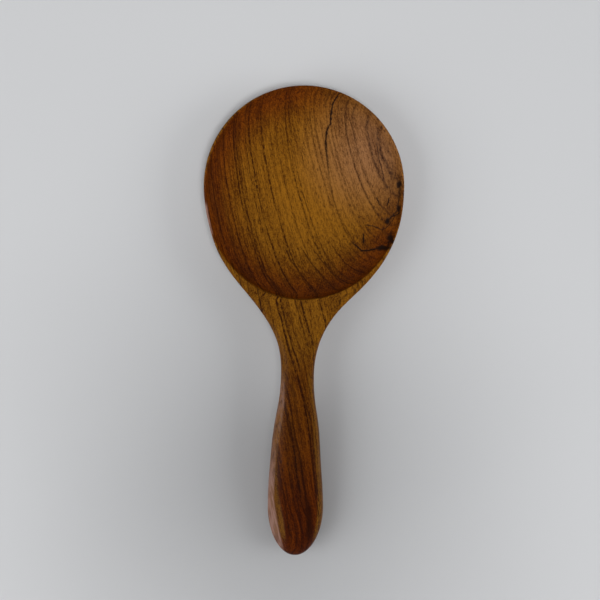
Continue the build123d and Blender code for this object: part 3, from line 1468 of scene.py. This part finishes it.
    def _mark(self, graph: Graph, axes: object, mark: DrawnMark) -> Socket:
        """One drawn line: dark where the offset across its course is under its half width.

        Args:
            graph: Writer of the material.
            axes: Place in plan, an axis in each socket.
            mark: The line.

        Returns:
            How dark the line is.
        """
        run = [point[0] for point in mark.points]
        course = [point[1] for point in mark.points]
        low, high = min(course) - self.curve_margin, max(course) + self.curve_margin
        along = axes[mark.heading.value]
        across = axes[1 - mark.heading.value]
        share = graph.node("ShaderNodeMapRange", {0: along, 1: run[0], 2: run[-1]}).outputs[0]
        curve = graph.node("ShaderNodeFloatCurve", {"Value": share})
        line = curve.mapping.curves[0]
        while len(line.points) < len(run):
            line.points.new(0.5, 0.5)
        for point, at, value in zip(line.points, run, course):
            point.location = ((at - run[0]) / (run[-1] - run[0]), (value - low) / (high - low))
            point.handle_type = "VECTOR"
        curve.mapping.update()
        middle = graph.add(graph.times(curve.outputs[0], high - low), low)
        offset = graph.maths("ABSOLUTE", graph.maths("SUBTRACT", across, middle))
        core = self.core_share * mark.half_width
        dark = graph.ramp(offset, core, mark.half_width, mark.strength, 0.0)
        start = graph.ramp(along, run[0] - self.end_run, run[0] + max(mark.tail, mark.fade))
        end = graph.ramp(along, run[-1] - mark.fade, run[-1] + self.end_run, 1.0, 0.0)
        return graph.times(dark, graph.times(start, end))

    def _spot(self, graph: Graph, axes: object, spot: Spot) -> Socket:
        """One inclusion, dark inside its ellipse and soft at its edge.

        Args:
            graph: Writer of the material.
            axes: Place in plan, an axis in each socket.
            spot: The inclusion.

        Returns:
            How dark the inclusion is.
        """
        side = graph.times(graph.add(axes[0], -spot.middle[0]), 1.0 / spot.reach[0])
        ahead = graph.times(graph.add(axes[1], -spot.middle[1]), 1.0 / spot.reach[1])
        away = graph.add(graph.times(side, side), graph.times(ahead, ahead))
        return graph.ramp(away, *self.spot_step)


def level_sheet(
    name: str, left: float, right: float, near: float, far: float, height: float
) -> bpy.types.Object:
    """Level rectangle of one face that looks up.

    Args:
        name: Name of the object and its mesh.
        left: Lowest x.
        right: Highest x.
        near: Lowest y.
        far: Highest y.
        height: Height above the table top.

    Returns:
        The linked object.
    """
    mesh = bpy.data.meshes.new(name)
    mesh.from_pydata(
        [(left, near, height), (right, near, height), (right, far, height), (left, far, height)],
        [], [(0, 1, 2, 3)],
    )
    return linked(name, mesh)


@dataclass(frozen=True)
class Table:
    """Pale matt table top that the paddle lies on."""

    colour: tuple = (0.580, 0.587, 0.600, 1.0)
    roughness: float = 0.9
    half_side: float = 1.5

    def build(self) -> bpy.types.Object:
        """Make the table as one flat square at height 0.

        Returns:
            The table top.
        """
        side = self.half_side
        top = level_sheet("table", -side, side, -side, side, 0.0)
        graph = Graph("table")
        shader = graph.node(
            "ShaderNodeBsdfPrincipled", {"Base Color": self.colour, "Roughness": self.roughness}
        )
        top.data.materials.append(graph.finish(shader))
        return top


@dataclass(frozen=True)
class Flag:
    """Dark level card above the grip, unseen by the camera.

    It keeps part of the ceiling's light off the grip and the table round it.
    """

    left: float = -0.013
    right: float = 0.100
    near: float = -0.26
    far: float = -0.138
    height: float = 0.45
    colour: tuple = (0.02, 0.02, 0.02, 1.0)

    def build(self) -> bpy.types.Object:
        """Make the card.

        Returns:
            The card.
        """
        card = level_sheet("flag", self.left, self.right, self.near, self.far, self.height)
        graph = Graph("flag")
        shader = graph.node("ShaderNodeBsdfDiffuse", {"Color": self.colour})
        card.data.materials.append(graph.finish(shader))
        card.visible_camera = False
        return card


@dataclass(frozen=True)
class Lamp:
    """One soft square lamp, aimed at a point on the table."""

    name: str
    place: tuple
    side: float
    watts: float
    aim: tuple = (0.0, -0.05, 0.0)
    glossy: bool = True

    def build(self) -> bpy.types.Object:
        """Make the lamp.

        Returns:
            The lamp object.
        """
        light = bpy.data.lights.new(self.name, "AREA")
        light.shape = "SQUARE"
        light.size = self.side
        light.energy = self.watts
        lamp = bpy.data.objects.new(self.name, light)
        lamp.location = self.place
        lamp.visible_glossy = self.glossy
        toward = Vector(self.aim) - Vector(self.place)
        lamp.rotation_euler = toward.to_track_quat("-Z", "Y").to_euler()
        bpy.context.scene.collection.objects.link(lamp)
        return lamp


@dataclass
class Studio:
    """The table, the dark card, the soft lamps and the even light of the room."""

    room: tuple = (1.0, 1.0, 1.0, 1.0)
    room_strength: float = 0.22
    seen_strength: float = 0.60
    table: Table = field(default_factory=Table)
    flag: Flag = field(default_factory=Flag)
    lamps: tuple = (
        Lamp("ceiling", (0.25, -0.45, 2.15), 0.5, 22.4, glossy=False),
        Lamp("window", (-1.30, -0.50, 1.00), 1.45, 14.0),
        Lamp("wall", (2.00, -0.15, 0.95), 1.45, 19.5, glossy=False),
    )

    def build(self) -> None:
        bpy.context.scene.world = self._room()
        self.table.build()
        self.flag.build()
        for lamp in self.lamps:
            lamp.build()

    def _room(self) -> bpy.types.World:
        """Even weak light from all sides, seen and reflected as a pale background.

        Returns:
            The world.
        """
        world = bpy.data.worlds.new("room")
        world.use_nodes = True
        tree = world.node_tree
        path = tree.nodes.new("ShaderNodeLightPath")
        strength = tree.nodes.new("ShaderNodeMapRange")
        strength.inputs["To Min"].default_value = self.room_strength
        strength.inputs["To Max"].default_value = self.seen_strength
        seen = path.outputs["Is Camera Ray"]
        for kind in ("Is Glossy Ray", "Is Transmission Ray"):
            either = tree.nodes.new("ShaderNodeMath")
            either.operation = "MAXIMUM"
            tree.links.new(seen, either.inputs[0])
            tree.links.new(path.outputs[kind], either.inputs[1])
            seen = either.outputs[0]
        tree.links.new(seen, strength.inputs["Value"])
        back = tree.nodes["Background"]
        back.inputs["Color"].default_value = self.room
        tree.links.new(strength.outputs[0], back.inputs["Strength"])
        return world


@dataclass(frozen=True)
class PhotoCamera:
    """Camera that looks straight down from above the middle of the picture.

    The photo's scale, in pixels to a metre, holds at the rim's height. The turn is in radians.
    """

    aim: tuple = (-0.00045, -0.0485)
    height: float = 0.55
    turn: float = 0.02583
    scale_height: float = 0.0155
    picture_pixels: float = 600.0
    pixels_per_metre: float = 2362.0
    sensor: float = 36.0
    clip_start: float = 0.01

    def build(self) -> None:
        """Make the camera. Its lens shows the picture's width at the rim's height."""
        data = bpy.data.cameras.new("camera")
        data.sensor_width = self.sensor
        picture_width = self.picture_pixels / self.pixels_per_metre
        data.lens = self.sensor * (self.height - self.scale_height) / picture_width
        data.clip_start = self.clip_start
        camera = bpy.data.objects.new("camera", data)
        camera.location = (*self.aim, self.height)
        camera.rotation_euler = (0.0, 0.0, self.turn)
        bpy.context.scene.collection.objects.link(camera)
        bpy.context.scene.camera = camera


@dataclass
class Paddle:
    """The rice paddle: its surface, its growth rings, its rubbed edges and painted edge light,
    its finish and its frame.
    """

    form: PaddleForm = field(default_factory=PaddleForm)
    rings: GrowthRings = field(default_factory=GrowthRings)
    wear_and_light: EdgeWearAndLight = field(default_factory=EdgeWearAndLight)
    finish: TeakFinish = field(default_factory=TeakFinish)

    def build(self) -> bpy.types.Object:
        """Make the visible paddle in place of the solid one.

        Returns:
            The finished piece.
        """
        piece = PaddleSurface(self.form).build("rice_paddle")
        self.rings.write(piece)
        self.wear_and_light.write(piece, self.form)
        piece.data.materials.append(self.finish.material())
        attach(piece, "root")
        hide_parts("paddle")
        LOG.info("%s: %d faces", piece.name, len(piece.data.polygons))
        return piece


def main() -> None:
    """Build the paddle, the studio and the camera."""
    logging.basicConfig(level=logging.INFO, format="%(message)s")
    bpy.context.scene.view_settings.view_transform = "Standard"
    Paddle().build()
    Studio().build()
    PhotoCamera().build()


if __name__ == "__main__":
    main()
